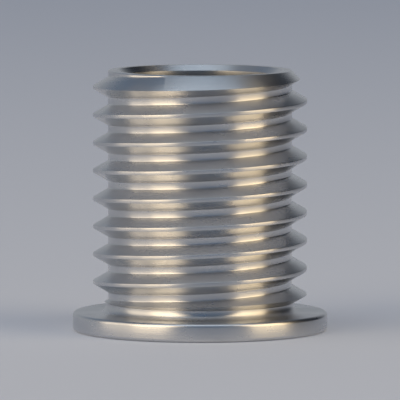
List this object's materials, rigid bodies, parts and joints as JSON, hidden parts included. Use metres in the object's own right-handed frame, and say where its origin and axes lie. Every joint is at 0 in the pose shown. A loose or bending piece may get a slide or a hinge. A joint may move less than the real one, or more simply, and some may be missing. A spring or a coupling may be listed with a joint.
{
  "type": "flanged thread insert",
  "caption": "Turned steel sleeve with a flange at one end, threaded outside to screw into a tapped hole and inside to take a smaller bolt.",
  "frame": {"origin": "on the axis, at the flange's outer face", "axes": "+Z along the axis, from the flange to the end that enters the tapped hole first"},
  "size_m": [0.0137, 0.0136, 0.014],
  "materials": {
    "insert_steel": "bright turned stainless steel"
  },
  "bodies": {
    "root": {"thread_insert": "insert_steel"}
  },
  "joints": []
}
